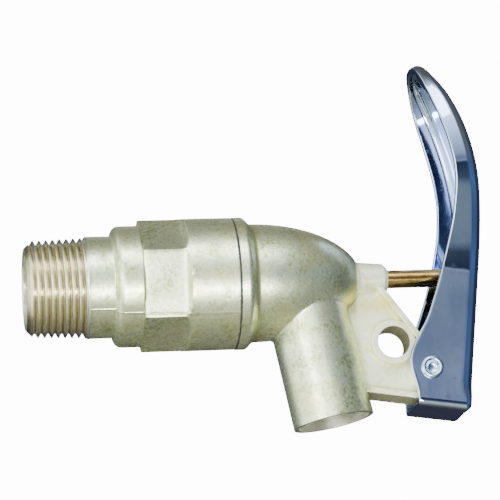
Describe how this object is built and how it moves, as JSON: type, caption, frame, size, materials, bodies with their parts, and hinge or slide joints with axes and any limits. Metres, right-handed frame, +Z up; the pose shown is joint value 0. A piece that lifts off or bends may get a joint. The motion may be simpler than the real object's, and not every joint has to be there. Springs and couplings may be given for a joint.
{
  "type": "drum faucet",
  "caption": "Self-closing die-cast drum faucet with a male pipe-thread inlet, a drooping spout and a push lever pivoted on a webbed lug with a padlock hole.",
  "frame": {"origin": "centre of the inlet's open end face, where the faucet screws into the drum", "axes": "+X along the inlet axis from the open end towards the lever, +Z up with the spout hanging down, +Y across the lever; the row's middle plane is Y = 0"},
  "size_m": [0.1239, 0.0358, 0.1017],
  "materials": {
    "zinc_casting": "satin nickel-plated zinc die casting",
    "chrome_plate": "polished chrome plate on pressed steel",
    "brass": "turned and polished",
    "steel": "bright zinc plated",
    "black_rubber": "matte"
  },
  "bodies": {
    "castings": {"inlet_body": "zinc_casting", "outlet_body": "zinc_casting", "body_gasket": "black_rubber", "spring_seat": "steel", "closing_spring": "steel", "pivot_rivet": "steel"},
    "valve_stem": {"stem": "brass", "stem_o_ring_outer": "black_rubber", "stem_o_ring_inner": "black_rubber", "seal_washer": "brass", "poppet_seal": "black_rubber", "poppet": "brass", "lock_washer": "steel", "poppet_nut": "brass"},
    "push_lever": {"lever": "chrome_plate"}
  },
  "joints": [
    {"name": "lever_swing", "type": "hinge", "parent": "castings", "child": "push_lever", "pos_m": [0.1069, 0, -0.0267], "axis": [0, -1, 0], "range_deg": [0, 15], "stiffness_Nm_per_rad": 1.09, "springref_deg": -17.02},
    {"name": "stem_slide", "type": "slide", "parent": "castings", "child": "valve_stem", "axis": [-1, 0, 0], "range_m": [0, 0.0072], "deforming": ["closing_spring"]}
  ],
  "couplings": [
    {"joint": "stem_slide", "follows": "lever_swing", "m_per_rad": 0.02693}
  ]
}
